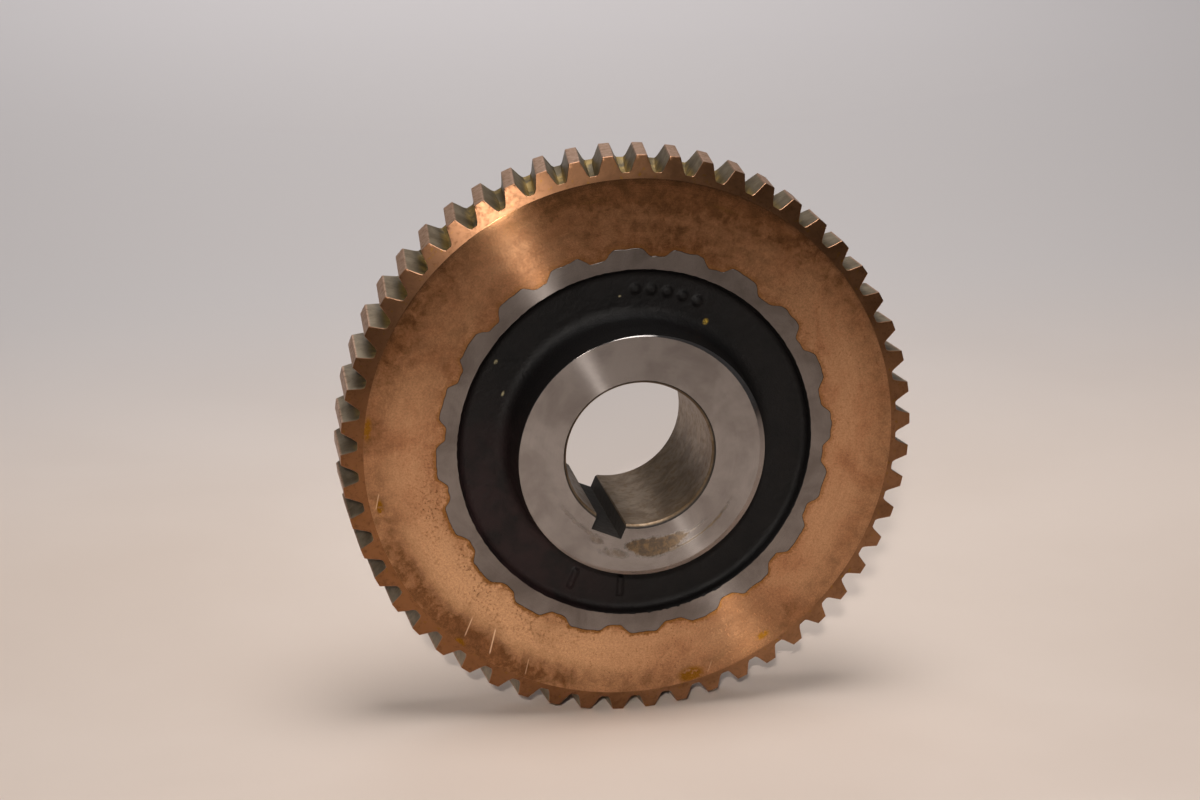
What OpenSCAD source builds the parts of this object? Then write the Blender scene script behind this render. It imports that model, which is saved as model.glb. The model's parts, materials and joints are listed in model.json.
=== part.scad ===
// Worm wheel for a shaft-mounted worm drive: a bronze toothed rim cast
// onto a cast-iron centre. The wheel axis runs along Y, the marked face
// looks toward -Y, and the origin is on the bore axis half way through
// the rim. All sizes are in millimetres.

/* [Teeth] */
// number of teeth around the rim
teeth = 54; // [30:2:80]
// distance from tooth to tooth along the pitch circle
circular_pitch = 12.7; // [8:0.1:20]
// slope of the teeth across the rim, right-handed
lead_angle = 6.3; // [2:0.1:15]
// distance from the wheel axis to the worm axis
centre_distance = 146.05; // [120:0.05:200]
// slope of each tooth flank from the radial direction
flank_angle = 24; // [14:0.5:30]
// width of a tooth at its tip
tip_width = 4.1; // [2:0.1:6]
// turns the whole ring of teeth about the axis
tooth_phase = 0.4; // [0:0.1:6.6]

/* [Rim] */
// width of the bronze rim between its two turned faces
rim_width = 30.2; // [20:0.1:45]
// radius where the flat face ends and the bevel starts
face_radius = 104.6; // [95:0.1:110]
// lean of the bevelled tooth ends back from the face
bevel_angle = 21; // [0:1:45]

/* [Cast-in joint] */
// number of bronze lobes keyed into the iron
lobes = 20; // [12:1:30]
// radius of the iron between the lobes
iron_radius = 78.4; // [70:0.1:90]
// how far each lobe reaches into the iron
lobe_depth = 3.3; // [1:0.1:5]
// width of a lobe where it leaves the bronze
lobe_base = 12.2; // [6:0.1:16]
// width of a lobe at its rounded inner end
lobe_end = 7.4; // [4:0.1:12]
// turns the ring of lobes about the axis
lobe_phase = 11.7; // [0:0.1:18]

/* [Iron centre] */
// radius of the shallow recess in each face of the web
recess_radius = 70.2; // [60:0.1:75]
// depth of the recess below the turned land
recess_depth = 3.5; // [1:0.5:10]
// fillet where the recess wall meets the web
recess_fillet = 2.8; // [0.5:0.1:3.4]
// length of the hub from face to face
hub_length = 65.5; // [50:0.5:90]
// radius of the rough hub at its end
hub_radius = 48.4; // [40:0.1:55]
// draft of the rough hub, as extra radius at the web
hub_draft = 1.4; // [0:0.1:3]
// fillet where the hub meets the web
hub_fillet = 5; // [1:0.5:8]
// radius where the turned hub face meets its corner bevel
hub_face_radius = 47.2; // [40:0.1:50]
// sideways and upward shift of the rough casting against the bore
casting_shift = [1.8, -1.2]; // [-3:0.1:3]
// sideways and upward shift of the rough hub against the bore
hub_shift = [1.2, -0.8]; // [-3:0.1:3]

/* [Bore] */
// finished bore for the shaft
bore_diameter = 57.15; // [40:0.05:70]
// extra radius of the bevel at each end of the bore
bore_bevel = 1.3; // [0:0.1:3]
// depth of the bevel along the bore
bore_bevel_depth = 1.8; // [0:0.1:3]
// width of the keyway
keyway_width = 12.7; // [6:0.1:20]
// distance from the bore axis to the keyway floor
keyway_floor = 33.9; // [30:0.1:40]
// direction of the keyway from the axis
keyway_angle = 247; // [0:1:359]

/* [Raised marks] */
// number of round pips cast on the upper part of the web
pips = 5; // [0:1:8]
// diameter of a pip
pip_diameter = 5; // [2:0.5:8]
// how far the pips and bars stand up from the web
mark_height = 0.9; // [0.3:0.1:2]
// length of the two bars cast on the lower part of the web
bar_length = 9; // [4:0.5:12]
// width of a bar
bar_width = 3; // [1:0.5:5]

/* [Hidden] */
// facets around a circle when it is shown as a mesh
$fn = 180;
// overlap that keeps cuts clear of the faces they pass through
slack = 1;
module_size = circular_pitch / PI;
pitch_radius = teeth * module_size / 2;
outside_radius = pitch_radius + module_size;
// whole tooth depth and root clearance follow the full-depth system
dedendum = 1.157 * module_size;
root_arc_radius = centre_distance - pitch_radius + dedendum;
tooth_step = 360 / teeth;
half_rim = rim_width / 2;
bevel_run = (outside_radius - face_radius) * tan(bevel_angle);
tip_half_width = half_rim - bevel_run;
// half the gap between two teeth, measured straight across at the tip
gap_half_tip = (2 * PI * outside_radius / teeth - tip_width) / 2;
gap_slope = tan(flank_angle);
// the flanks turn steeper this far inside the pitch circle, near the root
knee_drop = 2.5;
root_slope = 0.2;
cut_top = outside_radius + 3 * slack;
cut_knee = pitch_radius - knee_drop;
cut_bottom = pitch_radius - dedendum - 3 * slack;
gap_half_top = gap_half_tip + (cut_top - outside_radius) * gap_slope;
gap_half_knee = gap_half_tip - (outside_radius - cut_knee) * gap_slope;
gap_half_bottom = gap_half_knee - (cut_knee - cut_bottom) * root_slope;
lobe_radius = iron_radius - lobe_depth;
// how far the corners of a lobe are cut back
lobe_corner = 0.8;
web_level = half_rim - recess_depth;
half_hub = hub_length / 2;
bore_radius = bore_diameter / 2;
// the recess wall leans outward by this much over its depth
wall_lean = 0.6;
// how far the 45 degree bevel of the hub is carried past its corner
bevel_reach = 6;
// circle on which the raised marks stand, and their directions
mark_radius = 60.6;
pip_start = 64;
pip_step = 6;
bar_angles = [248, 266.5];

bronze = [0.72, 0.50, 0.33];
iron = [0.30, 0.29, 0.29];

// node to draw on its own

// lays a shape drawn around Z so that it stands around Y, front face to -Y
module wheel_axis() {
    rotate([90, 0, 0]) children();
}

// moves a shape sideways and upward in the plane of the wheel
module shifted(by) {
    translate([by[0], by[1], 0]) children();
}

// one bronze lobe, drawn from the rim inward with its corners cut back
module lobe_outline() {
    side = [
        [iron_radius + slack, lobe_base / 2 + lobe_corner / 2],
        [iron_radius - lobe_corner, lobe_base / 2 - lobe_corner],
        [lobe_radius + lobe_corner, lobe_end / 2 + lobe_corner / 2],
        [lobe_radius + lobe_corner / 5, lobe_end / 2 - lobe_corner],
        [lobe_radius, lobe_end / 4]
    ];
    last = len(side) - 1;
    polygon(concat(
        [for (point = side) [point[0], -point[1]]],
        [for (i = [0:last]) side[last - i]]
    ));
}

module lobe_ring(height) {
    for (i = [0:lobes - 1]) {
        rotate([0, 0, lobe_phase + i * 360 / lobes])
            translate([0, 0, -height / 2])
                linear_extrude(height) lobe_outline();
    }
}

// the part of the wheel taken up by iron, out to the bronze
module iron_blank() {
    shifted(casting_shift) difference() {
        cylinder(h = rim_width, r = iron_radius, center = true);
        lobe_ring(rim_width + 2 * slack);
    }
}

// ring-shaped recess between the land and the hub, on the +Z side
module recess() {
    wall_foot = recess_radius - wall_lean;
    inside_hub = hub_radius - 4 * slack;
    rotate_extrude()
        difference() {
            polygon([
                [inside_hub, web_level],
                [wall_foot, web_level],
                [recess_radius, half_rim],
                [recess_radius, half_rim + slack],
                [inside_hub, half_rim + slack]
            ]);
            difference() {
                translate([wall_foot - recess_fillet, web_level - slack])
                    square([recess_fillet + slack, recess_fillet + slack]);
                translate([wall_foot - recess_fillet, web_level + recess_fillet])
                    circle(r = recess_fillet);
            }
        }
}

// rough hub on one side, with its draft and foot fillet
module rough_hub() {
    foot = hub_radius + hub_draft;
    rotate_extrude()
        union() {
            polygon([
                [0, -slack],
                [foot, -slack],
                [foot, web_level],
                [hub_radius, half_hub + slack],
                [0, half_hub + slack]
            ]);
            difference() {
                translate([foot - slack, web_level - slack])
                    square([hub_fillet + slack, hub_fillet + slack]);
                translate([foot + hub_fillet, web_level + hub_fillet])
                    circle(r = hub_fillet);
            }
        }
}

// everything the lathe leaves standing around the hub
module turned_envelope() {
    rotate_extrude()
        polygon([
            [0, -half_hub],
            [hub_face_radius, -half_hub],
            [hub_face_radius + bevel_reach, -half_hub + bevel_reach],
            [hub_face_radius + 3 * bevel_reach, 0],
            [hub_face_radius + bevel_reach, half_hub - bevel_reach],
            [hub_face_radius, half_hub],
            [0, half_hub]
        ]);
}

module hub() {
    intersection() {
        shifted(hub_shift) {
            rough_hub();
            mirror([0, 0, 1]) rough_hub();
        }
        turned_envelope();
    }
}

module bore() {
    cylinder(h = hub_length + 2 * slack, r = bore_radius, center = true);
    for (side = [-1, 1]) {
        scale([1, 1, side])
            translate([0, 0, half_hub - bore_bevel_depth])
                cylinder(
                    h = bore_bevel_depth * 2,
                    r1 = bore_radius,
                    r2 = bore_radius + bore_bevel * 2
                );
    }
}

module keyway() {
    rotate([0, 0, keyway_angle])
        translate([0, -keyway_width / 2, -half_hub - slack])
            cube([keyway_floor, keyway_width, hub_length + 2 * slack]);
}

// generic raised marks standing on the web of the marked side
module marks() {
    for (i = [0:pips - 1]) {
        rotate([0, 0, pip_start + i * pip_step])
            translate([mark_radius, 0, web_level - slack])
                cylinder(h = mark_height + slack, r = pip_diameter / 2);
    }
    for (angle = bar_angles) {
        rotate([0, 0, angle])
            translate([mark_radius - bar_length / 2, -bar_width / 2, web_level - slack])
                cube([bar_length, bar_width, mark_height + slack]);
    }
}

module iron_centre() {
    color(iron) wheel_axis() difference() {
        union() {
            difference() {
                iron_blank();
                shifted(casting_shift) {
                    recess();
                    mirror([0, 0, 1]) recess();
                }
            }
            hub();
            marks();
        }
        bore();
        keyway();
    }
}

// bronze ring before the teeth are cut
module rim_blank() {
    inside_iron = lobe_radius - 4 * slack;
    rotate_extrude()
        polygon([
            [inside_iron, -half_rim],
            [face_radius, -half_rim],
            [outside_radius, -tip_half_width],
            [outside_radius, tip_half_width],
            [face_radius, half_rim],
            [inside_iron, half_rim]
        ]);
}

// one space between two teeth: sloping flanks and a floor curved like the worm
module tooth_space() {
    length = rim_width + 12 * slack;
    intersection() {
        rotate([-lead_angle, 0, 0])
            translate([0, 0, -length / 2])
                linear_extrude(length)
                    polygon([
                        [cut_bottom, -gap_half_bottom],
                        [cut_knee, -gap_half_knee],
                        [cut_top, -gap_half_top],
                        [cut_top, gap_half_top],
                        [cut_knee, gap_half_knee],
                        [cut_bottom, gap_half_bottom]
                    ]);
        translate([centre_distance, 0, 0])
            rotate([90 - lead_angle, 0, 0])
                cylinder(h = 4 * circular_pitch, r = root_arc_radius, center = true);
    }
}

module bronze_rim() {
    color(bronze) wheel_axis() difference() {
        rim_blank();
        iron_blank();
        for (i = [0:teeth - 1]) {
            rotate([0, 0, tooth_phase + (i + 0.5) * tooth_step]) tooth_space();
        }
    }
}

iron_centre();
bronze_rim();
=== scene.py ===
"""Looks of a bimetal worm wheel: a turned and hobbed bronze rim cast onto a
black-painted iron centre, standing on its teeth on a pale floor.

Both pieces are built as all-quad lathe shapes whose radius and depth vary
around the wheel axis (Y), so the toothing, the off-centre casting, the keyway
and the raised marks are all real geometry. Angles run counter-clockwise from
+X as seen from the front (-Y), and part sizes are in millimetres."""

import json
import math

import bpy
import numpy as np
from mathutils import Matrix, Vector


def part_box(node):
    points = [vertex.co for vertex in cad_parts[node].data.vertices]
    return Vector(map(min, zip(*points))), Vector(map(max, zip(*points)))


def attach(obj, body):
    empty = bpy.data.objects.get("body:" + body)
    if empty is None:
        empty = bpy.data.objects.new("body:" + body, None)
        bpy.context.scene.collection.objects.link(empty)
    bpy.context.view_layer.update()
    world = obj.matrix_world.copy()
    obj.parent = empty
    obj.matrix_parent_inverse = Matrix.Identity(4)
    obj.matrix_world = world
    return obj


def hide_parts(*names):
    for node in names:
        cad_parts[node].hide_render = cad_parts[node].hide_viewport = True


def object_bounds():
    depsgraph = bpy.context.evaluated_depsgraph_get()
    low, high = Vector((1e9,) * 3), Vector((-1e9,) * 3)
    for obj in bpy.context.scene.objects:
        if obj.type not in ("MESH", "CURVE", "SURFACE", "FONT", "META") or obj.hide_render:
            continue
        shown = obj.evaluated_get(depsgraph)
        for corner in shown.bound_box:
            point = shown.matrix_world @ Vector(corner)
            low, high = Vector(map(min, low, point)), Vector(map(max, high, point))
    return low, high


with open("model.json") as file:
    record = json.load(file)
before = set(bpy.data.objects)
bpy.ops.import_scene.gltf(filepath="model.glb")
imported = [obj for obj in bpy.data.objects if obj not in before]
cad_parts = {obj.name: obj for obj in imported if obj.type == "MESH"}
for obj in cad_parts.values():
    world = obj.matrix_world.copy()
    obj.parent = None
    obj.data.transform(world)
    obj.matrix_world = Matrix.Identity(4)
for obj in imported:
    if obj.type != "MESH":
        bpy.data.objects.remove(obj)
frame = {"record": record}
cad_low, cad_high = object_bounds()

MM = 0.001

# ---------------------------------------------------------------------------
# sizes in millimetres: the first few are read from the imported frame, and the
# others are the same as in the CAD source
# ---------------------------------------------------------------------------
_, rim_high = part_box("bronze_rim")
_, iron_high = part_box("iron_centre")
HALF_RIM = rim_high.y / MM
HALF_HUB = iron_high.y / MM
OUTSIDE_RADIUS = rim_high.x / MM
FLOOR_LEVEL = cad_low.z
BORE_RADIUS = next(
    m["dims"]["r_mm"] for m in frame["record"]["mounts"] if m["name"] == "shaft_bore"
)

# toothing; the slopes are tangents of angles from the radial or the axis
TEETH = 54
FULL_TURN = 2 * math.pi
PITCH = FULL_TURN / TEETH
MODULE = OUTSIDE_RADIUS / (TEETH / 2 + 1)
PITCH_RADIUS = MODULE * TEETH / 2
CENTRE_DISTANCE = 146.05
DEDENDUM = 1.157 * MODULE
ROOT_ARC = CENTRE_DISTANCE - PITCH_RADIUS + DEDENDUM
TIP_WIDTH = 4.1
FLANK_SLOPE = math.tan(math.radians(24))
ROOT_SLOPE = 0.2
KNEE_RADIUS = PITCH_RADIUS - 2.5
LEAD_SLOPE = math.tan(math.radians(6.3))
TOOTH_PHASE = math.radians(0.4)
FACE_RADIUS = 104.6
BEVEL_SLOPE = math.tan(math.radians(21))

# cast-in joint between bronze and iron
LOBES = 20
IRON_RADIUS = 78.4
LOBE_DEPTH = 3.3
LOBE_BASE = 12.2
LOBE_END = 7.4
LOBE_PHASE = math.radians(11.7)
CASTING_SHIFT = (1.8, -1.2)
# each piece stays this far back from the joint line
JOINT_GAP = 0.05

# iron centre
RECESS_RADIUS = 70.2
RECESS_DEPTH = 3.5
WALL_LEAN = 0.6
RECESS_FILLET = 2.8
HUB_RADIUS = 48.4
HUB_DRAFT = 1.4
HUB_FILLET = 5.0
HUB_FACE_RADIUS = 47.2
HUB_SHIFT = (1.2, -0.8)
BORE_BEVEL = 1.3
BORE_BEVEL_DEPTH = 1.8
KEYWAY_HALF = 6.35
KEYWAY_FLOOR = 33.9
KEYWAY_ANGLE = math.radians(247)
MARK_RADIUS = 60.6
MARK_HEIGHT = 0.9
PIP_RADIUS = 2.5
PIP_ANGLES = [math.radians(64 + 6 * i) for i in range(5)]
BAR_ANGLES = [math.radians(248), math.radians(266.5)]
BAR_HALF = (4.5, 1.5)


# ---------------------------------------------------------------------------
# small numeric helpers
# ---------------------------------------------------------------------------
# distance from the joint given to surfaces that are nowhere near it
FAR = 99.0


def smooth(low, high, value):
    """Smooth step from 0 at low to 1 at high."""
    t = np.clip((value - low) / (high - low), 0, 1)
    return t * t * (3 - 2 * t)


def lattice(ix, iy, iz, seed):
    """A repeatable number from -1 to 1 for each whole-number lattice point."""
    n = (
        ix.astype(np.int64) * 374761393
        + iy.astype(np.int64) * 668265263
        + iz.astype(np.int64) * 1440662683
        + seed * 974634777
    ) & 0xFFFFFFFF
    n = ((n ^ (n >> 13)) * 1274126177) & 0xFFFFFFFF
    return ((n ^ (n >> 16)) & 0xFFFF) / 32767.5 - 1


def noise3(x, y, z, size, seed):
    """Smooth noise from -1 to 1 with features about size across."""
    p = [np.asarray(v, float) / size for v in np.broadcast_arrays(x, y, z)]
    base = [np.floor(v) for v in p]
    frac = [v - b for v, b in zip(p, base)]
    frac = [f * f * (3 - 2 * f) for f in frac]
    total = 0
    for dx in (0, 1):
        for dy in (0, 1):
            for dz in (0, 1):
                weight = (
                    (frac[0] if dx else 1 - frac[0])
                    * (frac[1] if dy else 1 - frac[1])
                    * (frac[2] if dz else 1 - frac[2])
                )
                corner = lattice(base[0] + dx, base[1] + dy, base[2] + dz, seed)
                total = total + weight * corner
    return total


def off_centre(theta, radius, shift):
    """Distance from the bore axis to a circle drawn about a shifted centre."""
    along = shift[0] * np.cos(theta) + shift[1] * np.sin(theta)
    across = shift[0] * np.sin(theta) - shift[1] * np.cos(theta)
    return along + np.sqrt(radius**2 - across**2)


def wrapped(angle):
    """The same direction as an angle from -pi to pi."""
    return (angle + math.pi) % FULL_TURN - math.pi


# ---------------------------------------------------------------------------
# a lathe shape whose rings may vary around the axis
# ---------------------------------------------------------------------------
# edges that bend more than this are shaded as sharp
SHARP_ANGLE = math.radians(28.0)


class Rings:
    """Rings of points around Y, joined into one closed shell of quads."""

    def __init__(self, theta):
        self.theta = theta
        self.angle, self.radius, self.depth, self.zone = [], [], [], []
        self.from_joint = []

    def add(self, radius, depth, zone, turn=0.0, from_joint=FAR):
        """One ring; zone is the material of the band that follows it."""
        self.from_joint.append(np.zeros_like(self.theta) + from_joint)
        flat = np.zeros_like(self.theta)
        self.angle.append(self.theta + turn)
        self.radius.append(flat + radius)
        self.depth.append(flat + depth)
        self.zone.append(zone)

    def build(self, name, materials, body):
        """The piece made of all rings; the last ring joins up with the first."""
        angle, radius, depth = map(np.array, (self.angle, self.radius, self.depth))
        rings, spokes = angle.shape
        points = np.stack(
            [radius * np.cos(angle), depth, radius * np.sin(angle)], axis=2
        ).reshape(-1, 3)
        ring = np.arange(rings)[:, None]
        spoke = np.arange(spokes)[None, :]
        a = ring * spokes + spoke
        b = ring * spokes + (spoke + 1) % spokes
        c = (ring + 1) % rings * spokes + (spoke + 1) % spokes
        d = (ring + 1) % rings * spokes + spoke
        quads = np.stack([a, b, c, d], axis=2).reshape(-1, 4)
        mesh = bpy.data.meshes.new(name)
        mesh.from_pydata((points * MM).tolist(), [], quads.tolist())
        used = list(dict.fromkeys(self.zone))
        for zone in used:
            mesh.materials.append(materials[zone])
        slot_of = np.repeat([used.index(z) for z in self.zone], spokes)
        mesh.polygons.foreach_set("material_index", slot_of.astype(np.int32))
        mesh.polygons.foreach_set("use_smooth", np.ones(len(quads), bool))
        joint = mesh.attributes.new("from_joint", "FLOAT", "POINT")
        joint.data.foreach_set("value", np.array(self.from_joint).ravel())
        mesh.update()
        mesh.set_sharp_from_angle(angle=SHARP_ANGLE)
        piece = bpy.data.objects.new(name, mesh)
        bpy.context.scene.collection.objects.link(piece)
        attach(piece, body)
        return piece


# ---------------------------------------------------------------------------
# the wavy line where bronze meets iron
# ---------------------------------------------------------------------------
# how much the lobes differ from each other, as a share of their size
LOBE_WIDTH_SPREAD = 0.11
LOBE_DEPTH_SPREAD = 0.08
# waves of the line where the bronze ran up to the iron: height and length
LONG_WAVE = (0.34, 4.0)
SHORT_WAVE = (0.16, 1.5)
# where a lobe's flank begins and ends, against its width at end and foot
LOBE_FLANK = (0.6, 1.2)
# rounds of the search for a radius that satisfies the shifted outline
SEARCH_ROUNDS = 4


def joint_radius(theta):
    """Distance from the bore axis to the cast-in joint, at each angle."""
    radius = np.full_like(theta, IRON_RADIUS)
    for _ in range(SEARCH_ROUNDS):
        x = radius * np.cos(theta) - CASTING_SHIFT[0]
        z = radius * np.sin(theta) - CASTING_SHIFT[1]
        around = np.arctan2(z, x)
        step = FULL_TURN / LOBES
        number = np.round((around - LOBE_PHASE) / step)
        away = around - LOBE_PHASE - number * step
        lobe_index, zero = number % LOBES, number * 0
        width = 1 + LOBE_WIDTH_SPREAD * lattice(lobe_index, zero, zero, 5)
        foot = LOBE_BASE / 2 / IRON_RADIUS * width
        end = LOBE_END / 2 / (IRON_RADIUS - LOBE_DEPTH) * width
        uneven = LOBE_DEPTH_SPREAD * lattice(lobe_index, zero, zero, 9)
        depth = LOBE_DEPTH * (1 + uneven)
        lobe = 1 - smooth(end * LOBE_FLANK[0], foot * LOBE_FLANK[1], np.abs(away))
        wave = LONG_WAVE[0] * noise3(x, z, 0 * x, LONG_WAVE[1], 21)
        wave = wave + SHORT_WAVE[0] * noise3(x, z, 0 * x, SHORT_WAVE[1], 22)
        target = IRON_RADIUS - depth * lobe + wave
        radius = off_centre(theta, target, CASTING_SHIFT)
    return radius


# ---------------------------------------------------------------------------
# bronze rim
# ---------------------------------------------------------------------------
def gap_half_width(x):
    """Half the space between two teeth at distance x from the wheel axis."""
    at_tip = (PITCH * OUTSIDE_RADIUS - TIP_WIDTH) / 2
    at_knee = at_tip - (OUTSIDE_RADIUS - KNEE_RADIUS) * FLANK_SLOPE
    return np.where(
        x > KNEE_RADIUS,
        at_tip - (OUTSIDE_RADIUS - x) * FLANK_SLOPE,
        at_knee - (KNEE_RADIUS - x) * ROOT_SLOPE,
    )


def root_distance(depth):
    """Distance from the axis to the floor of a tooth space, at a depth."""
    return CENTRE_DISTANCE - np.sqrt(ROOT_ARC**2 - depth**2)


# half of one tooth space, from its middle to the middle of the tooth: each
# entry is a part of the section and how far along that part the point lies
ROOT_STEPS = [0.0, 0.45, 0.8]
FLANK_STEPS = [0.06, 0.14, 0.24, 0.4, 0.6, 0.8, 0.93]
HALF_SECTION = (
    [("root", t) for t in ROOT_STEPS]
    + [("flank", t) for t in FLANK_STEPS]
    + [("shoulder", 0.0), ("land", 0.0), ("land", 0.5), ("land", 1.0)]
)
# width of the rounding between a flank and the tip
SHOULDER = 0.16
# how far the floor of a space curls up at its sides, and the flank's fillet
ROOT_CURL = 0.18
FILLET = 0.35
FILLET_REACH = 0.5


def section_point(part, t, depth, wear):
    """Radius and angle, from the middle of the space, of one section point."""
    floor = root_distance(depth) - wear
    top = OUTSIDE_RADIUS - wear
    side = wear / math.cos(math.atan(FLANK_SLOPE))
    if part == "root":
        x = floor + ROOT_CURL * t**4
        width = (gap_half_width(floor) + side) * t
    elif part == "flank":
        x = floor + (top - SHOULDER - floor) * t
        soft = FILLET * np.exp(-((x - floor) ** 2) / FILLET_REACH)
        width = gap_half_width(x) + side - soft
    elif part == "shoulder":
        x = top - SHOULDER + 0 * depth
        width = gap_half_width(x) + side
    else:
        edge = (gap_half_width(top + 0 * depth) + side + SHOULDER) / top
        return top + 0 * depth, edge + (PITCH / 2 - edge) * t
    return np.hypot(x, width), np.arctan2(width, x)


# rounds of the search for the depth at which a tooth meets its bevel
BEVEL_ROUNDS = 6
# the flanks start this share of the edge wear inside the bevel
WEAR_REACH = 0.8


def tooth_rings(wear_edge):
    """The toothed outside, from the front bevel to the back bevel."""
    steps = [0.0, 0.04, 0.15, 0.3, 0.45, 0.6, 0.75, 0.88, 0.97]
    stations = [-1.0] + [-1 + 2 * t for t in steps] + [1.0, 1.0]
    wears = [wear_edge] + [0.0] * len(steps) + [0.0, wear_edge]
    zones = ["bronze_edge"] + ["bronze_tooth"] * len(steps)
    zones += ["bronze_edge", "bronze_end"]
    columns = []
    for tooth in range(TEETH):
        middle = TOOTH_PHASE + (tooth + 0.5) * PITCH
        for side, section in ((-1, HALF_SECTION[:0:-1]), (1, HALF_SECTION[:-1])):
            for part, t in section:
                columns.append((middle, side, part, t))
    parts = np.array([c[2] for c in columns])
    middles = np.array([c[0] for c in columns])
    sides = np.array([c[1] for c in columns], float)
    along = np.array([c[3] for c in columns])

    def place(depth, wear):
        radius = np.zeros(len(columns))
        angle = np.zeros(len(columns))
        for part in ("root", "flank", "shoulder", "land"):
            pick = parts == part
            r, a = section_point(part, along[pick], depth[pick], wear[pick])
            radius[pick], angle[pick] = r, a
        lean = -depth * LEAD_SLOPE / PITCH_RADIUS
        return radius, middles + sides * angle + lean

    def on_bevel(end, wear):
        depth = np.full(len(columns), end * HALF_RIM)
        for _ in range(BEVEL_ROUNDS):
            radius, _ = place(depth, wear)
            depth = end * (HALF_RIM - (radius - FACE_RADIUS) * BEVEL_SLOPE)
        return depth

    nothing = np.zeros(len(columns))
    front = on_bevel(-1, nothing)
    back = on_bevel(1, nothing)
    made = []
    for station, wear, zone in zip(stations, wears, zones):
        wear = nothing + wear
        if station in (-1.0, 1.0) and wear.max() > 0:
            depth = on_bevel(station, wear)
        else:
            t = (station + 1) / 2
            inner = WEAR_REACH * wear_edge
            depth = (front + inner) + (back - front - 2 * inner) * t
        radius, angle = place(depth, wear)
        made.append((radius, depth, angle, zone))
    return made


# least wear of a tooth's edge, and how much more the worst has
EDGE_WEAR = (0.14, 0.09)


def build_rim(materials):
    rng = np.random.default_rng(54)
    count = TEETH * 2 * (len(HALF_SECTION) - 1)
    wear = EDGE_WEAR[0] + EDGE_WEAR[1] * rng.random(count)
    wear = np.minimum(wear, np.roll(wear, 1))
    made = tooth_rings(wear)
    # bevel and face spokes start from the angles of the front tooth ends
    rings = Rings(made[0][2])
    theta = rings.theta
    back_turn = made[-1][2] - theta

    def joint(turn):
        return joint_radius((theta + turn) % FULL_TURN) + JOINT_GAP

    def face(side, turn):
        """Rings of one turned face, from the joint out to the bevel."""
        inner = joint(turn)
        edge = JOINT_GAP
        out = [
            (inner, side * (HALF_RIM - edge), 0.0),
            (inner + edge, side * HALF_RIM, edge),
        ]
        for t in (0.03, 0.07, 0.12, 0.2, 0.3, 0.4, 0.5, 0.6, 0.7, 0.8, 0.9):
            away = (FACE_RADIUS - inner) * t
            out.append((inner + away, side * HALF_RIM, away))
        out.append((FACE_RADIUS - 0.1, side * HALF_RIM, FAR))
        out.append((FACE_RADIUS + 0.1, side * (HALF_RIM - 0.1 * BEVEL_SLOPE), FAR))
        return out

    front = face(-1, 0)
    for i, (radius, depth, away) in enumerate(front):
        last = i == len(front) - 1
        rings.add(radius, depth, "bronze_end" if last else "bronze_face", from_joint=away)
    end_radius = made[0][0]
    for t in (0.4, 0.8):
        radius = FACE_RADIUS + 0.1 + (end_radius - FACE_RADIUS - 0.1) * t
        depth = -(HALF_RIM - (radius - FACE_RADIUS) * BEVEL_SLOPE)
        rings.add(radius, depth, "bronze_end")
    for radius, depth, angle, zone in made:
        rings.add(radius, depth, zone, turn=angle - theta)
    end_radius = made[-1][0]
    for t in (0.8, 0.4):
        radius = FACE_RADIUS + 0.1 + (end_radius - FACE_RADIUS - 0.1) * t
        depth = HALF_RIM - (radius - FACE_RADIUS) * BEVEL_SLOPE
        rings.add(radius, depth, "bronze_end", turn=back_turn)
    back = face(1, back_turn)
    for radius, depth, away in back[::-1]:
        rings.add(radius, depth, "bronze_face", turn=back_turn, from_joint=away)
    for t in (0.25, 0.5, 0.75):
        turn = back_turn * (1 - t)
        rings.add(joint(turn), HALF_RIM * (1 - 2 * t), "bronze_face", turn=turn)
    piece = rings.build("rim_bronze", materials, "root")
    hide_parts("bronze_rim")


# ---------------------------------------------------------------------------
# iron centre
# ---------------------------------------------------------------------------
def bore_outline(theta):
    """Bore radius at each angle, with the keyway's sides and floor."""
    away = np.abs(wrapped(theta - KEYWAY_ANGLE))
    floor = KEYWAY_FLOOR / np.cos(np.minimum(away, 1.0))
    side = KEYWAY_HALF / np.maximum(np.sin(np.minimum(away, 1.0)), 1e-6)
    slot = np.where(away < math.atan2(KEYWAY_HALF, KEYWAY_FLOOR), floor, side)
    inside = away < math.asin(KEYWAY_HALF / BORE_RADIUS)
    return np.where(inside, np.maximum(slot, BORE_RADIUS), BORE_RADIUS)


# degrees between two spokes, beside a keyway corner, and at the least
SPOKE_STEP = 0.45
CORNER_STEP = 0.12
LEAST_STEP = 0.1


def iron_spokes():
    """Spoke angles, closer together around the keyway."""
    even = np.arange(0, 360, SPOKE_STEP)
    corner = math.degrees(math.asin(KEYWAY_HALF / BORE_RADIUS))
    floor = math.degrees(math.atan2(KEYWAY_HALF, KEYWAY_FLOOR))
    extra = []
    for sign in (-1, 1):
        for t in np.linspace(0, 1, 9):
            extra.append(sign * (floor + (corner - floor) * t))
        extra += [sign * (corner + CORNER_STEP), sign * (floor - CORNER_STEP)]
    centre = math.degrees(KEYWAY_ANGLE)
    extra = np.array(extra) + centre
    clear = np.abs(even[:, None] - extra[None, :]).min(1) > LEAST_STEP
    return np.radians(np.sort(np.concatenate([even[clear], extra % 360])))


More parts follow.
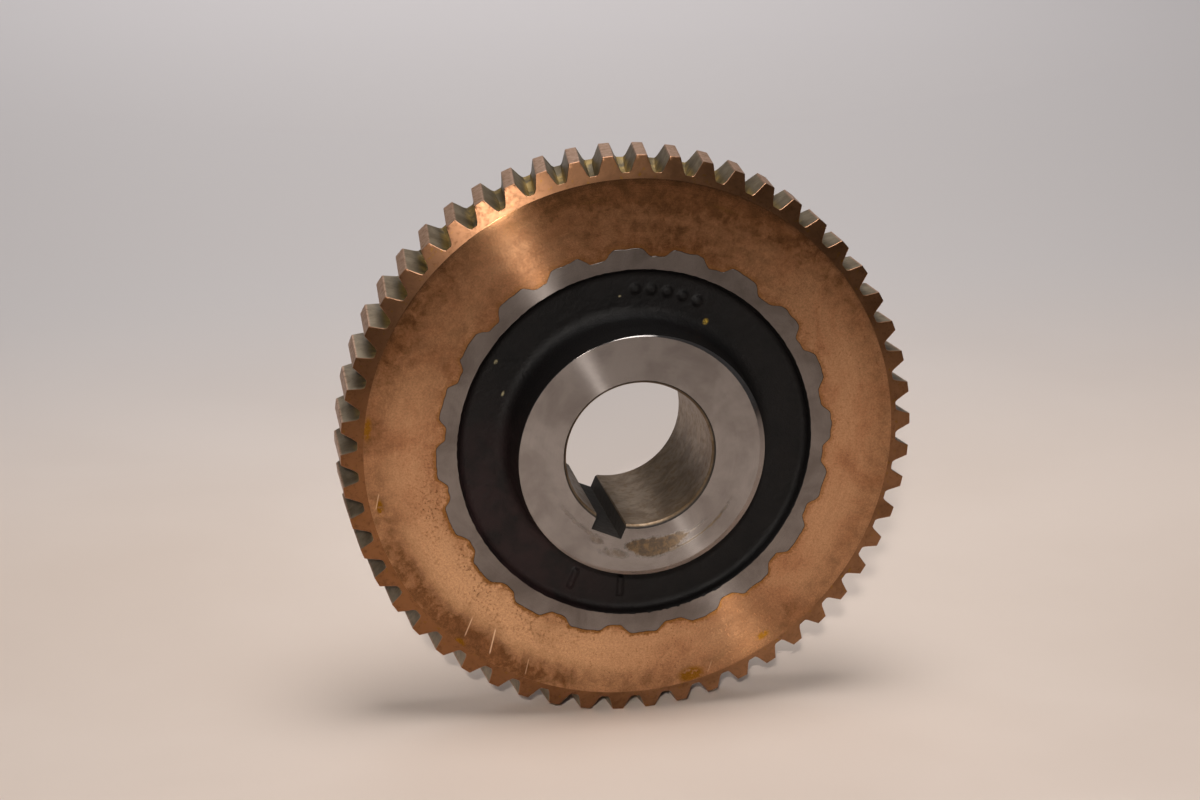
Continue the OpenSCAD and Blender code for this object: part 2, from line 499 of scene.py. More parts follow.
def raised_marks(theta, radius):
    """Height of the five pips and two bars at points of the web."""
    x, z = radius * np.cos(theta), radius * np.sin(theta)
    height = np.zeros(np.broadcast(x, z).shape)
    for angle in PIP_ANGLES:
        away = np.hypot(
            x - MARK_RADIUS * math.cos(angle), z - MARK_RADIUS * math.sin(angle)
        )
        dome = 1 - smooth(0.35 * PIP_RADIUS, PIP_RADIUS + 0.2, away)
        height = np.maximum(height, dome)
    for angle in BAR_ANGLES:
        along = x * math.cos(angle) + z * math.sin(angle) - MARK_RADIUS
        across = z * math.cos(angle) - x * math.sin(angle)
        inside = 1
        for half, away in zip(BAR_HALF, (along, across)):
            inside = inside * (1 - smooth(half - 1.1, half + 0.25, np.abs(away)))
        height = np.maximum(height, inside)
    return MARK_HEIGHT * height


SKIN_SEED = 11


def cast_skin(theta, radius, depth):
    """Small lumps and hollows of the sand-cast skin, in millimetres."""
    x, z = radius * np.cos(theta), radius * np.sin(theta)
    coarse = 0.10 * noise3(x, depth, z, 9.0, SKIN_SEED)
    medium = 0.055 * noise3(x, depth, z, 2.6, SKIN_SEED + 1)
    fine = 0.035 * noise3(x, depth, z, 1.0, SKIN_SEED + 2)
    return coarse + medium + fine


def half_profile(theta, side, web_rings, marked):
    """One side of the iron centre, from the joint inward to the bore wall."""
    joint = joint_radius(theta) - JOINT_GAP
    level = HALF_RIM - RECESS_DEPTH
    nick = np.maximum(0, noise3(theta * 60, 0, 0, 1.0, 41) - 0.25)
    nick = nick * smooth(math.radians(262), math.radians(276), theta)
    nick = nick * (1 - smooth(math.radians(296), math.radians(306), theta))
    edge_wave = 0.12 * noise3(theta * 40, 0, 0, 1.0, 43) + 0.9 * nick
    wall_top = off_centre(theta, RECESS_RADIUS, CASTING_SHIFT) + edge_wave
    out = []

    def add(radius, depth, zone):
        out.append((radius, side * depth, zone))

    add(joint, HALF_RIM - JOINT_GAP, "iron_turned")
    add(joint - JOINT_GAP, HALF_RIM, "iron_turned")
    for t in (0.12, 0.3, 0.5, 0.7, 0.9):
        add(joint + (wall_top - joint) * t, HALF_RIM, "iron_turned")
    add(wall_top + 0.14, HALF_RIM, "iron_paint")
    # recess wall and its fillet
    wall_rows = 3 if marked else 2
    for t in np.linspace(0.1, 1, wall_rows, endpoint=False):
        lean = WALL_LEAN * t
        depth = HALF_RIM - (RECESS_DEPTH - RECESS_FILLET) * t - 0.1
        base = off_centre(theta, RECESS_RADIUS - lean, CASTING_SHIFT)
        base = base + edge_wave * (1 - t)
        add(base + cast_skin(theta, base, depth), depth, "iron_paint")
    foot = RECESS_RADIUS - WALL_LEAN
    for turn in np.linspace(0, math.pi / 2, 6 if marked else 4)[1:]:
        radius = foot - RECESS_FILLET * (1 - math.cos(turn))
        depth = level + RECESS_FILLET * (1 - math.sin(turn))
        base = off_centre(theta, radius, CASTING_SHIFT)
        skin = cast_skin(theta, base, depth)
        add(base, depth + skin * 0.8, "iron_paint")
    # web, drifting from the casting's centre to the hub's own centre
    outer = foot - RECESS_FILLET
    inner = HUB_RADIUS + HUB_DRAFT + HUB_FILLET
    for t in np.linspace(0, 1, web_rings)[1:-1]:
        shift = tuple(a + (b - a) * t for a, b in zip(CASTING_SHIFT, HUB_SHIFT))
        base = off_centre(theta, outer + (inner - outer) * t, shift)
        depth = level + cast_skin(theta, base, level)
        if marked:
            depth = depth + raised_marks(theta, base)
        add(base, depth, "iron_paint")
    # hub fillet and flank
    for turn in np.linspace(0, math.pi / 2, 8 if marked else 5):
        radius = inner - HUB_FILLET * math.sin(turn)
        depth = level + HUB_FILLET * (1 - math.cos(turn))
        base = off_centre(theta, radius, HUB_SHIFT)
        skin = cast_skin(theta, base, depth)
        tilt = math.sin(turn)
        add(base + skin * tilt, depth + skin * (1 - tilt), "iron_paint")
    flank_low = level + HUB_FILLET
    rough = off_centre(theta, HUB_RADIUS, HUB_SHIFT)
    bevel_start = np.minimum(HUB_FACE_RADIUS, rough - 0.16)
    flank_top = HALF_HUB - np.maximum(rough - HUB_FACE_RADIUS, 0.12)
    for t in np.linspace(0, 1, 11 if marked else 5)[1:]:
        depth = flank_low + (flank_top - flank_low) * t
        draft = HUB_DRAFT * (HALF_HUB - depth) / (HALF_HUB - level)
        base = off_centre(theta, HUB_RADIUS, HUB_SHIFT) + draft
        skin = cast_skin(theta, base, depth) * (1 - t**6)
        add(base + skin, depth, "iron_turned" if t == 1 else "iron_paint")
    # turned corner bevel, hub face and bevel at the bore
    bore = bore_outline(theta)
    mouth = np.maximum(BORE_RADIUS + BORE_BEVEL, bore)
    add(bevel_start, HALF_HUB, "iron_turned")
    for t in (0.04, 0.15, 0.3, 0.5, 0.7, 0.85, 0.96):
        add(bevel_start + (mouth - bevel_start) * t, HALF_HUB, "iron_turned")
    add(mouth, HALF_HUB, "iron_bore")
    slope = BORE_BEVEL_DEPTH / BORE_BEVEL
    drop = np.maximum(mouth - bore, 0.02) * slope
    add(bore, HALF_HUB - drop, "iron_bore")
    for t in (0.96, 0.8, 0.6, 0.4, 0.2):
        add(bore, (HALF_HUB - BORE_BEVEL_DEPTH) * t - 0.1, "iron_bore")
    return out


def build_iron(materials):
    theta = iron_spokes()
    rings = Rings(theta)
    front = half_profile(theta, -1, web_rings=24, marked=True)
    back = half_profile(theta, 1, web_rings=9, marked=False)
    for radius, depth, zone in front:
        rings.add(radius, depth, zone)
    # the back runs the other way, so each band takes the next ring's zone
    for i in range(len(back) - 1, -1, -1):
        radius, depth, _ = back[i]
        rings.add(radius, depth, back[i - 1][2] if i else "iron_turned")
    piece = rings.build("centre_iron", materials, "root")
    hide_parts("iron_centre")


# ---------------------------------------------------------------------------
# shader building blocks
# ---------------------------------------------------------------------------
def rgb(red, green, blue):
    """A linear colour from screen values of 0 to 255."""

    def linear(v):
        v /= 255
        return v / 12.92 if v <= 0.04045 else ((v + 0.055) / 1.055) ** 2.4

    return (linear(red), linear(green), linear(blue), 1.0)


class Value:
    """A shader value that can be used in plain arithmetic."""

    def __init__(self, graph, socket):
        self.graph, self.socket = graph, socket

    def __add__(self, other):
        return self.graph.math("ADD", self, other)

    def __sub__(self, other):
        return self.graph.math("SUBTRACT", self, other)

    def __rsub__(self, other):
        return self.graph.math("SUBTRACT", other, self)

    def __mul__(self, other):
        return self.graph.math("MULTIPLY", self, other)

    __radd__ = __add__
    __rmul__ = __mul__


# sockets of a Mix node that carry colours
MIX_FIRST, MIX_SECOND, MIX_RESULT = 6, 7, 2
# how much the round-the-axis direction of lathe patterns is compressed
AROUND_SCALE = 0.25


class Graph:
    """Nodes of one material, in the part's own millimetres."""

    def __init__(self, name):
        self.material = bpy.data.materials.new(name)
        self.material.use_nodes = True
        self.tree = self.material.node_tree
        self.shader = self.tree.nodes["Principled BSDF"]
        coordinates = self.node("ShaderNodeTexCoord")
        scaled = self.node("ShaderNodeVectorMath", operation="SCALE")
        self.tree.links.new(coordinates.outputs["Object"], scaled.inputs[0])
        scaled.inputs["Scale"].default_value = 1 / MM
        self.place = scaled.outputs["Vector"]
        split = self.node("ShaderNodeSeparateXYZ")
        self.tree.links.new(self.place, split.inputs[0])
        self.x, self.y, self.z = (Value(self, s) for s in split.outputs)
        self.r = self.math("SQRT", self.x * self.x + self.z * self.z)
        turn = self.math("ARCTAN2", self.z, self.x) * (180 / math.pi)
        self.degrees = self.math("WRAP", turn, 360.0, 0.0)

    def node(self, kind, **settings):
        made = self.tree.nodes.new(kind)
        for key, value in settings.items():
            setattr(made, key, value)
        return made

    def feed(self, socket, value):
        if isinstance(value, Value):
            self.tree.links.new(value.socket, socket)
        elif isinstance(value, bpy.types.NodeSocket):
            self.tree.links.new(value, socket)
        else:
            socket.default_value = value

    def math(self, operation, *values, clamp=False):
        made = self.node("ShaderNodeMath", operation=operation, use_clamp=clamp)
        for socket, value in zip(made.inputs, values):
            self.feed(socket, value)
        return Value(self, made.outputs[0])

    def step(self, value, low, high):
        """Smooth step from 0 at low to 1 at high."""
        made = self.node("ShaderNodeMapRange", interpolation_type="SMOOTHSTEP")
        self.feed(made.inputs["Value"], value)
        made.inputs["From Min"].default_value = low
        made.inputs["From Max"].default_value = high
        return Value(self, made.outputs["Result"])

    def band(self, value, low, high, soft):
        """1 between low and high, fading to 0 over soft on either side."""
        rise = self.step(value, low - soft, low + soft)
        fall = self.step(value, high + soft, high - soft)
        return rise * fall

    def sector(self, middle, half, soft):
        """1 within half degrees of the middle direction, fading over soft."""
        turned = self.math("WRAP", self.degrees - middle, 180.0, -180.0)
        away = self.math("ABSOLUTE", turned)
        return self.step(away, half + soft, max(half - soft, 0.0))

    def spot(self, degrees, radius, wide, tall):
        """1 at a polar place, fading to 0 at wide and tall millimetres away."""
        cos, sin = math.cos(math.radians(degrees)), math.sin(math.radians(degrees))
        x, z = self.x - radius * cos, self.z - radius * sin
        along = x * cos + z * sin
        across = z * cos - x * sin
        u, v = along * (1 / tall), across * (1 / wide)
        return self.step(self.math("SQRT", u * u + v * v), 1.0, 0.2)

    def line(self, start, end, width):
        """1 on a straight mark between two (x, z) points, fading over width."""
        length = math.hypot(end[0] - start[0], end[1] - start[1])
        ux, uz = (end[0] - start[0]) / length, (end[1] - start[1]) / length
        along = (self.x - start[0]) * ux + (self.z - start[1]) * uz
        offset = (self.z - start[1]) * ux - (self.x - start[0]) * uz
        across = self.math("ABSOLUTE", offset)
        inside = self.band(along, 0.0, length, 0.8)
        return inside * self.step(across, width, 0.1 * width)

    def noise(self, size, detail=4.0, rough=0.5, warp=0.0, at=None, stretch=None):
        """Fractal noise, 0 to 1, with features about size millimetres across."""
        made = self.node("ShaderNodeTexNoise", noise_dimensions="3D")
        source = at if at is not None else self.place
        if stretch is not None:
            scaled = self.node("ShaderNodeVectorMath", operation="MULTIPLY")
            self.feed(scaled.inputs[0], source)
            scaled.inputs[1].default_value = stretch
            source = scaled.outputs["Vector"]
        self.feed(made.inputs["Vector"], source)
        made.inputs["Scale"].default_value = 1 / size
        made.inputs["Detail"].default_value = detail
        made.inputs["Roughness"].default_value = rough
        made.inputs["Distortion"].default_value = warp
        return Value(self, made.outputs[0])

    def polar(self):
        """Coordinates that run along the radius and round the axis."""
        made = self.node("ShaderNodeCombineXYZ")
        self.feed(made.inputs[0], self.r)
        self.feed(made.inputs[1], self.degrees * AROUND_SCALE)
        self.feed(made.inputs[2], self.y)
        return made.outputs[0]

    def mix(self, factor, first, second, blend="MIX"):
        made = self.node("ShaderNodeMix", data_type="RGBA", blend_type=blend)
        self.feed(made.inputs["Factor"], factor)
        self.feed(made.inputs[MIX_FIRST], first)
        self.feed(made.inputs[MIX_SECOND], second)
        return made.outputs[MIX_RESULT]

    def bump(self, height, distance, strength=1.0):
        """Surface relief from a height, over a distance in millimetres."""
        made = self.node("ShaderNodeBump")
        made.inputs["Strength"].default_value = strength
        made.inputs["Distance"].default_value = distance * MM
        self.feed(made.inputs["Height"], height)
        return made.outputs[0]

    def attribute(self, name):
        made = self.node("ShaderNodeAttribute", attribute_name=name)
        return Value(self, made.outputs["Fac"])

    def outward(self):
        """The direction straight out from the axis, for turned surfaces."""
        joined = self.node("ShaderNodeCombineXYZ")
        self.feed(joined.inputs[0], self.x)
        self.feed(joined.inputs[2], self.z)
        unit = self.node("ShaderNodeVectorMath", operation="NORMALIZE")
        self.feed(unit.inputs[0], joined.outputs[0])
        turned = self.node(
            "ShaderNodeVectorTransform",
            vector_type="VECTOR",
            convert_from="OBJECT",
            convert_to="WORLD",
        )
        self.feed(turned.inputs[0], unit.outputs[0])
        return turned.outputs[0]

    def finish(self, colour, roughness, normal=None, metallic=None, **sockets):
        self.feed(self.shader.inputs["Base Color"], colour)
        self.feed(self.shader.inputs["Roughness"], roughness)
        if metallic is not None:
            self.feed(self.shader.inputs["Metallic"], metallic)
        if normal is not None:
            self.feed(self.shader.inputs["Normal"], normal)
        for name, value in sockets.items():
            self.feed(self.shader.inputs[name.replace("_", " ")], value)
        return self.material


def grey(level):
    """A colour that multiplies all three channels alike."""
    return (level, level, level, 1.0)


# ---------------------------------------------------------------------------
# materials
# ---------------------------------------------------------------------------
def bronze_face():
    g = Graph("bronze_turned_face")
    polar = g.polar()
    lathe_lines = g.noise(0.16, 3.0, 0.6, at=polar, stretch=(1.0, 0.02, 0.0))
    lathe_bands = g.noise(1.6, 2.0, 0.5, at=polar, stretch=(1.0, 0.05, 0.0))
    cloud = g.noise(22.0, 6.0, 0.62, 0.6)
    mottle = g.noise(5.0, 6.0, 0.66, 0.4)
    speck = g.noise(1.1, 4.0, 0.6)

    bare_bronze_and_painted_light = g.mix(g.step(cloud, 0.35, 0.68), rgb(192, 147, 110), rgb(180, 131, 96))
    # lighter bronze over the lower left: partly the bare metal's own tone, partly painted
    # light
    bare_bronze_and_painted_light = g.mix(g.sector(238, 36, 26), bare_bronze_and_painted_light, rgb(218, 172, 130))
    # a narrow darker band at 300 degrees: painted shade that dims the lathe highlight
    # there (the roughness is raised in the same band below)
    bare_bronze_and_painted_light = g.mix(g.sector(300, 7, 8) * 0.85, bare_bronze_and_painted_light, rgb(128, 92, 64))
    # darker brown over the top, the upper left and the outer rim: partly real tarnish,
    # partly painted shade
    brown = g.mix(g.step(mottle, 0.35, 0.7), rgb(140, 97, 65), rgb(106, 74, 46))
    top = g.sector(80, 22, 45)
    outer = g.step(g.r, 90.0, 101.0)
    low_left = g.sector(225, 28, 22)
    upper_left = g.sector(150, 14, 16)
    tarnish_and_painted_shade = top * 0.85 + upper_left * 0.45 + outer * low_left * 0.60 + outer * 0.50
    tarnish_and_painted_shade = tarnish_and_painted_shade * (g.step(mottle, 0.2, 0.75) * 0.5 + 0.65)
    tarnish_and_painted_shade = g.math("ADD", tarnish_and_painted_shade, g.step(cloud, 0.48, 0.72) * 0.30, clamp=True)
    colour = g.mix(tarnish_and_painted_shade, bare_bronze_and_painted_light, brown)

    # olive film over the upper part, in streaks that follow the lathe
    film = g.noise(3.2, 5.0, 0.7, at=polar, stretch=(1.0, 0.35, 0.0))
    patches = (
        g.spot(68, 99.0, 9.0, 8.0)
        + g.spot(82, 101.0, 7.0, 5.0)
        + g.spot(98, 98.0, 8.0, 6.0)
    )
    olive = g.step(film, 0.52, 0.70) * patches
    colour = g.mix(g.math("MULTIPLY", olive, 0.55, clamp=True), colour, rgb(120, 92, 40))

    # pitting on the lower left, brighter copper where it was rubbed
    pits = g.step(speck, 0.53, 0.62) * g.sector(214, 34, 18)
    pits = pits * g.step(cloud, 0.36, 0.52) * g.step(g.r, 96.0, 84.0)
    elsewhere = g.sector(15, 30, 15) + g.sector(285, 30, 15)
    few = g.step(speck, 0.60, 0.68) * elsewhere * 0.8
    pits = g.math("ADD", pits, few, clamp=True)
    colour = g.mix(pits * 0.5, colour, rgb(126, 76, 46))
    rubbed = g.step(mottle, 0.56, 0.72) * g.sector(235, 40, 25)
    colour = g.mix(rubbed * 0.35, colour, rgb(214, 156, 114))

    # bronze smeared brown along the cast-in joint
    near_joint = g.step(g.r + (mottle - 0.5) * 9.0, 82.5, 78.0)
    smear = near_joint * g.step(mottle, 0.40, 0.62)
    colour = g.mix(smear * 0.5, colour, rgb(142, 96, 62))
    ragged = (g.noise(1.6, 5.0, 0.65) - 0.5) * 4.5
    from_joint = g.attribute("from_joint") + ragged
    outline = g.step(from_joint, 2.0, 0.5) * (g.sector(250, 75, 30) * 0.45 + 0.5)
    colour = g.mix(outline, colour, rgb(142, 98, 54))

    # ochre stains of dried oil
    wet = g.step(g.noise(2.2, 5.0, 0.65), 0.38, 0.50)
    stains = (
        g.spot(284, 102.0, 7.5, 4.5)
        + g.spot(302.5, 100.0, 4.0, 2.0)
        + g.spot(229, 104.5, 3.5, 2.5)
        + g.spot(174, 103.5, 6.5, 2.2)
        + g.spot(192, 101.0, 5.0, 2.0)
    )
    stain = g.math("MULTIPLY", stains * wet, 1.4, clamp=True)
    colour = g.mix(stain * 0.92, colour, rgb(138, 94, 24))

    # fine concentric tool marks tint the metal
    tint = g.step(lathe_lines, 0.25, 0.75) * 0.6
    tint = tint + g.step(lathe_bands, 0.3, 0.7) * 0.4
    shade = g.mix(tint, grey(0.90), grey(1.06))
    colour = g.mix(1.0, colour, shade, "MULTIPLY")

    grain = g.noise(0.8, 3.0, 0.7)
    shade = g.mix(g.step(grain, 0.3, 0.7), grey(0.82), grey(1.12))
    colour = g.mix(1.0, colour, shade, "MULTIPLY")

    scratches = (
        g.line((-66.3, -76.0), (-63.3, -68.8), 0.35) * 0.8
        + g.line((-56.6, -84.2), (-54.2, -74.3), 0.42)
        + g.line((-42.5, -94.0), (-41.0, -87.8), 0.32) * 0.5
        + g.line((-100.3, -21.6), (-99.1, -15.6), 0.35) * 0.6
        + g.line((31.5, -98.5), (33.0, -94.0), 0.3) * 0.35
    )
    scratches = g.math("MULTIPLY", scratches, 1.0, clamp=True)
    colour = g.mix(scratches * 0.8, colour, rgb(246, 212, 176))

    roughness = (
        0.16
        + g.step(mottle, 0.3, 0.8) * 0.05
        + tarnish_and_painted_shade * 0.04
        - scratches * 0.12
        + pits * 0.1
        + g.sector(300, 8, 8) * 0.07
    )
    grit = g.noise(1.0, 1.5, 0.5)
    grooves = g.noise(0.3, 1.0, 0.5, at=polar, stretch=(1.0, 0.0, 0.0))
    height = grooves * 3.0 + lathe_bands * 0.2 - pits * 0.3 - scratches * 1.2
    normal = g.bump(height + grit * 0.6, 0.016)
    return g.finish(
        colour, roughness, normal, metallic=1.0, Anisotropic=1.0, Tangent=g.outward()
    )


def bronze_cut(name, dark):
    """Hobbed tooth surfaces: oily brown tips, grey-green flanks, yellow roots."""
    g = Graph(name)
    cloud = g.noise(9.0, 5.0, 0.6, 0.3)
    grime = g.noise(2.4, 6.0, 0.7, 0.3)
    fine = g.noise(0.5, 3.0, 0.6)
    tip = g.step(g.r, 112.2, 113.0)
    root = g.step(g.r, 108.8, 105.6)
    flank = g.mix(g.step(cloud, 0.35, 0.65), rgb(150, 135, 112), rgb(118, 102, 80))
    # darker low on the flanks, towards the roots: painted shade deep in the tooth spaces
    low_flank_shade = g.step(g.r, 111.0, 107.0)
    flank = g.mix(low_flank_shade * 0.6, flank, rgb(82, 72, 54))
    tips = g.mix(g.step(grime, 0.3, 0.7), rgb(196, 162, 138), rgb(166, 130, 106))
    roots = g.mix(g.step(cloud, 0.4, 0.62), rgb(176, 148, 84), rgb(100, 86, 58))
    colour = g.mix(tip, flank, tips)
    colour = g.mix(root, colour, roots)
    oil = g.step(grime, 0.56, 0.70) * dark
    colour = g.mix(oil, colour, rgb(100, 80, 50))
    hob = g.noise(0.9, 2.0, 0.5, stretch=(0.25, 1.0, 0.25))
    roughness = 0.40 + g.step(grime, 0.3, 0.8) * 0.16 - root * 0.05
    normal = g.bump(fine * 0.4 + hob * 0.6 + grime * 0.5, 0.03)
    return g.finish(colour, roughness, normal, metallic=0.55)


def bronze_end(name, edge):
    """Turned ends of the teeth: brown and red-brown, brighter on worn edges."""
    g = Graph(name)
    grime = g.noise(2.0, 6.0, 0.7, 0.3)
    cloud = g.noise(14.0, 4.0, 0.6)
    polar = g.polar()
    lathe_lines = g.noise(0.2, 3.0, 0.6, at=polar, stretch=(1.0, 0.02, 0.0))
    pink = g.sector(130, 30, 35)
    red = g.sector(205, 45, 30)
    base = g.mix(g.step(cloud, 0.35, 0.7), rgb(140, 101, 71), rgb(116, 82, 56))
    base = g.mix(pink * 0.6, base, rgb(122, 88, 66))
    base = g.mix(red * 0.6, base, rgb(148, 100, 64))
    dirt = g.step(grime, 0.50, 0.72) * 0.6
    colour = g.mix(dirt, base, rgb(92, 62, 40))
    wet = g.step(g.noise(2.6, 5.0, 0.65), 0.60, 0.68) * 0.7
    colour = g.mix(wet, colour, rgb(138, 98, 36))
    if edge:
        colour = g.mix(0.45, colour, rgb(206, 158, 128))
    roughness = 0.36 + g.step(grime, 0.3, 0.8) * 0.12
    normal = g.bump(lathe_lines * 0.5 + grime * 0.5, 0.015)
    return g.finish(
        colour, roughness, normal, metallic=1.0, Anisotropic=0.8, Tangent=g.outward()
    )


def iron_turned():
    g = Graph("iron_turned_face")
    polar = g.polar()
    lathe_lines = g.noise(0.13, 3.0, 0.6, at=polar, stretch=(1.0, 0.02, 0.0))
    lathe_bands = g.noise(1.2, 2.0, 0.5, at=polar, stretch=(1.0, 0.05, 0.0))
    grain = g.noise(0.45, 4.0, 0.65)
    cloud = g.noise(16.0, 5.0, 0.6, 0.4)
    hub = g.mix(g.step(cloud, 0.35, 0.7), rgb(157, 152, 149), rgb(138, 132, 129))
    land = g.mix(g.step(cloud, 0.35, 0.7), rgb(132, 125, 121), rgb(110, 103, 99))
    on_land = g.step(g.r, 60.0, 61.0)
    base = g.mix(on_land, hub, land)
    shade = g.mix(g.step(lathe_lines, 0.25, 0.75), grey(0.92), grey(1.04))
    colour = g.mix(1.0, base, shade, "MULTIPLY")
    flecks = g.step(grain, 0.60, 0.72)
    colour = g.mix(flecks * 0.35, colour, rgb(98, 90, 84))

    # rust stain below the bore and thin brown runs beside it
    blotch = g.noise(2.6, 7.0, 0.78, 0.4)
    stain_body = g.spot(278, 38.0, 13.0, 6.0) + g.spot(292, 37.5, 9.0, 4.0) * 0.8
    stain_body = stain_body + g.spot(268, 36.5, 8.0, 3.5) * 0.6
    rust = g.step(blotch + stain_body * 0.50, 0.62, 0.82)
    rust = rust * g.step(stain_body, 0.02, 0.3)
    wavy_r = g.r + (blotch - 0.5) * 1.6
    ragged_r = g.r + (blotch - 0.5) * 4.0
    runs = g.band(wavy_r, 40.6, 41.6, 0.4) * g.sector(305, 22, 8)
    runs = runs + g.band(wavy_r, 37.6, 38.2, 0.4) * g.sector(300, 12, 8) * 0.8
    runs = runs + g.band(ragged_r, 35.4, 36.2, 0.6) * g.sector(228, 14, 8) * 0.7
    drops = g.spot(256, 40.5, 10.0, 3.2) + g.spot(243, 37.5, 6.0, 2.5)
    damp = g.step(blotch + drops * 0.3, 0.60, 0.80) * g.step(drops, 0.02, 0.3)
    runs = runs + damp * 0.8
    rust = g.math("ADD", rust, runs * 0.9, clamp=True)
    hub_only = g.step(g.r, 49.5, 48.5) * g.step(g.y, 0.0, -10.0)
    rust = rust * hub_only
    rust_colour = g.mix(g.step(blotch, 0.4, 0.62), rgb(104, 78, 42), rgb(58, 42, 22))
    colour = g.mix(rust * 0.92, colour, rust_colour)

    roughness = 0.165 + g.step(cloud, 0.3, 0.8) * 0.03 + rust * 0.3 + on_land * 0.025
    height = lathe_lines * 0.5 + lathe_bands * 0.3 + grain * 0.2 + rust * 0.8
    normal = g.bump(height, 0.014)
    metallic = g.math("SUBTRACT", 1.0, rust * 0.85)
    return g.finish(
        colour, roughness, normal, metallic=metallic, Anisotropic=1.0, Tangent=g.outward()
    )


def iron_paint():
    g = Graph("iron_black_paint")
    lumps = g.noise(1.6, 5.0, 0.62)
    fine = g.noise(0.45, 4.0, 0.6)
    cloud = g.noise(11.0, 5.0, 0.6)
    colour = g.mix(g.step(cloud, 0.35, 0.7), rgb(14, 12, 12), rgb(9, 8, 8))
    warm = g.sector(215, 40, 30) * g.step(cloud, 0.3, 0.6)
    colour = g.mix(warm * 0.5, colour, rgb(48, 32, 32))
    worn = g.step(g.noise(0.9, 5.0, 0.7), 0.69, 0.75)
    colour = g.mix(worn * 0.6, colour, rgb(70, 62, 56))
    chips = (
        g.spot(42.0, 71.0, 0.7, 0.5)
        + g.spot(94.0, 58.0, 0.8, 0.6)
        + g.spot(147.0, 62.6, 1.3, 0.9)
        + g.spot(157.0, 54.2, 1.6, 0.7)
    )
    chips = g.math("MULTIPLY", chips, g.step(fine, 0.35, 0.5), clamp=True)
    colour = g.mix(chips * 0.8, colour, rgb(150, 140, 110))
    yellow = g.spot(57.0, 54.9, 1.4, 1.7) * g.step(fine, 0.35, 0.5)
    colour = g.mix(yellow, colour, rgb(160, 132, 50))
    roughness = 0.42 + g.step(cloud, 0.3, 0.7) * 0.12
    normal = g.bump(lumps * 0.9 + fine * 0.5, 0.32)
    return g.finish(colour, roughness, normal, metallic=0.0, Specular_IOR_Level=0.17)


def iron_bore():
    g = Graph("iron_bored_wall")
    cloud = g.noise(8.0, 6.0, 0.65, 0.5)
    grime = g.noise(2.4, 3.0, 0.6)
    base = g.mix(g.step(cloud, 0.35, 0.65), rgb(150, 130, 108), rgb(118, 96, 72))
    colour = g.mix(g.step(grime, 0.50, 0.70) * 0.6, base, rgb(122, 96, 62))
    # the keyway's walls and floor are painted near-black: painted shade inside the slot;
    # they are also rougher and less metallic
    slot = g.step(g.r, 28.8, 29.6)
    colour = g.mix(slot * 0.95, colour, rgb(22, 19, 17))
    roughness = 0.36 + g.step(grime, 0.3, 0.8) * 0.15 + slot * 0.35
    normal = g.bump(grime, 0.004)
    return g.finish(colour, roughness, normal, metallic=0.75 - slot * 0.6)


def floor_paper():
    g = Graph("pale_paper")
    cloud = g.noise(260.0, 4.0, 0.5, 0.3)
    grain = g.noise(1.2, 3.0, 0.6)
    # greyer and a little darker further back: painted shade standing in for the paper
    # rising into a sweep behind the wheel
    far = g.step(g.y, 160.0, 700.0)
    near = g.mix(g.step(cloud, 0.3, 0.7), rgb(226, 211, 200), rgb(218, 202, 190))
    colour = g.mix(far, near, rgb(208, 202, 200))
    normal = g.bump(grain * 0.15 + cloud * 4.0, 1.0, 0.25)
    return g.finish(colour, 0.62, normal, metallic=0.0, Specular_IOR_Level=0.3)


# ---------------------------------------------------------------------------
# pieces
# ---------------------------------------------------------------------------
materials = {
    "bronze_face": bronze_face(),
    "bronze_end": bronze_end("bronze_tooth_end", False),
    "bronze_edge": bronze_end("bronze_worn_edge", True),
    "bronze_tooth": bronze_cut("bronze_hobbed_tooth", 0.6),
    "iron_turned": iron_turned(),
    "iron_paint": iron_paint(),
    "iron_bore": iron_bore(),
}
build_rim(materials)
build_iron(materials)


# ---------------------------------------------------------------------------
# floor, light and camera
# ---------------------------------------------------------------------------
FLOOR_HALF = 6.0


def build_floor():
    mesh = bpy.data.meshes.new("floor_paper")
    corners = [(-1, -1), (1, -1), (1, 1), (-1, 1)]
    points = [(x * FLOOR_HALF, y * FLOOR_HALF, FLOOR_LEVEL) for x, y in corners]
    mesh.from_pydata(points, [], [(0, 1, 2, 3)])
    mesh.materials.append(floor_paper())
    floor = bpy.data.objects.new("floor_paper", mesh)
    bpy.context.scene.collection.objects.link(floor)


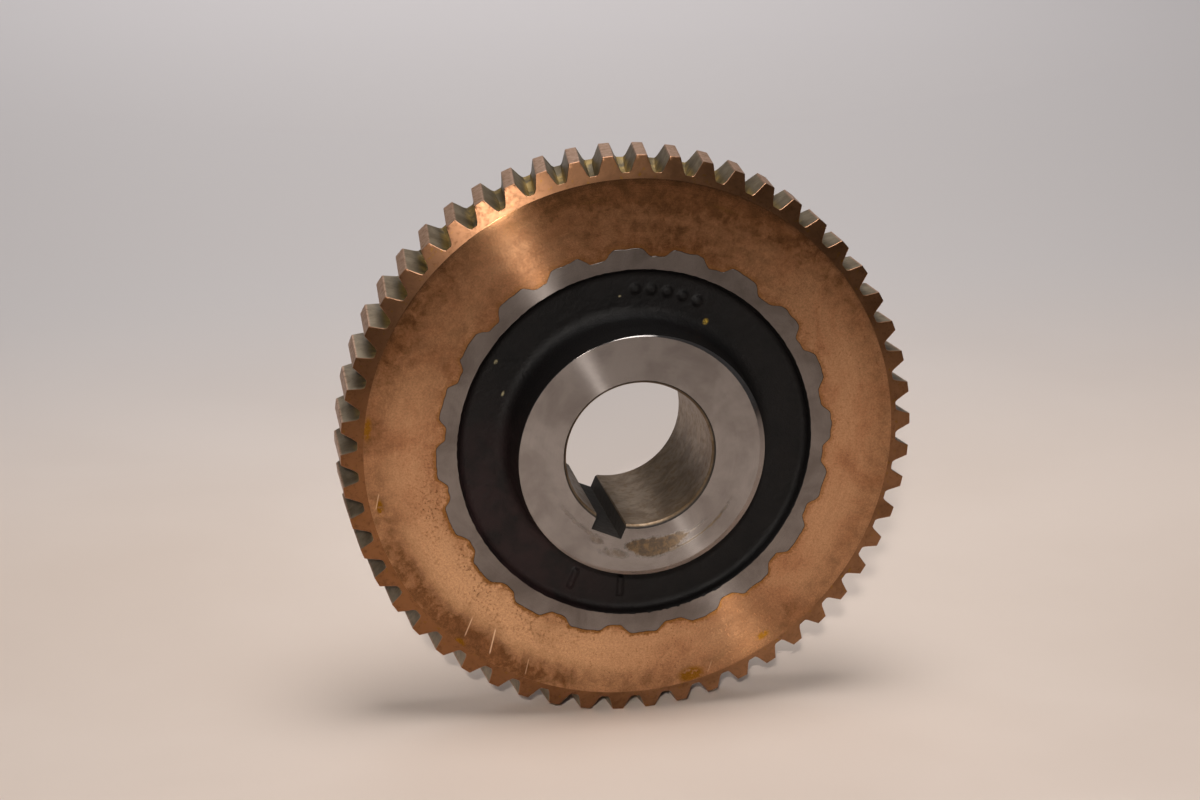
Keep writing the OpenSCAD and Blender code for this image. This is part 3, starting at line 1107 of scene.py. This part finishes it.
def area_light(name, place, target, size, watts, colour, spread):
    """A round lamp at place, aimed at target; spread is in degrees."""
    data = bpy.data.lights.new(name, "AREA")
    data.shape = "DISK"
    data.size = size
    data.energy = watts
    data.color = colour
    data.spread = math.radians(spread)
    light = bpy.data.objects.new(name, data)
    light.location = place
    towards = Vector(target) - Vector(place)
    light.rotation_mode = "QUATERNION"
    light.rotation_quaternion = towards.to_track_quat("-Z", "Y")
    bpy.context.scene.collection.objects.link(light)


def from_angles(azimuth, elevation, distance):
    """A place seen from the origin; azimuth 0 is straight in front (-Y)."""
    a, e = math.radians(azimuth), math.radians(elevation)
    flat = math.cos(e) * distance
    return Vector((math.sin(a) * flat, -math.cos(a) * flat, math.sin(e) * distance))


build_floor()
area_light(
    "key_light",
    place=from_angles(-13.0, 23.5, 2.4),
    target=(0, 0, 0),
    size=0.10,
    watts=1.0,
    colour=(1.0, 0.94, 0.88),
    spread=30.0,
)
area_light(
    "overhead_light",
    place=(0.1, -0.25, 2.2),
    target=(0.05, 0.05, FLOOR_LEVEL),
    size=1.4,
    watts=11.0,
    colour=(1.0, 0.97, 0.95),
    spread=100.0,
)
area_light(
    "back_light",
    place=(0.2, 2.2, 1.6),
    target=(0.2, 2.0, FLOOR_LEVEL),
    size=1.4,
    watts=12.0,
    colour=(0.97, 0.97, 1.0),
    spread=110.0,
)

world = bpy.data.worlds.new("studio")
bpy.context.scene.world = world
world.use_nodes = True
background = world.node_tree.nodes["Background"]
background.inputs["Color"].default_value = (0.90, 0.90, 0.92, 1.0)
background.inputs["Strength"].default_value = 0.10

# the middle of the picture, as a point in the plane of the front hub face
CAMERA_TARGET = Vector((-15.68, -HALF_HUB, 23.02)) * MM
camera_data = bpy.data.cameras.new("camera")
camera_data.sensor_width = 36.0
camera_data.lens = 92.6
camera = bpy.data.objects.new("camera", camera_data)
camera.location = CAMERA_TARGET + from_angles(-10.557, 16.796, 1.176)
camera.rotation_mode = "QUATERNION"
camera.rotation_quaternion = (CAMERA_TARGET - camera.location).to_track_quat("-Z", "Y")
bpy.context.scene.collection.objects.link(camera)
bpy.context.scene.camera = camera

bpy.context.scene.view_settings.view_transform = "Standard"
bpy.context.scene.view_settings.look = "None"
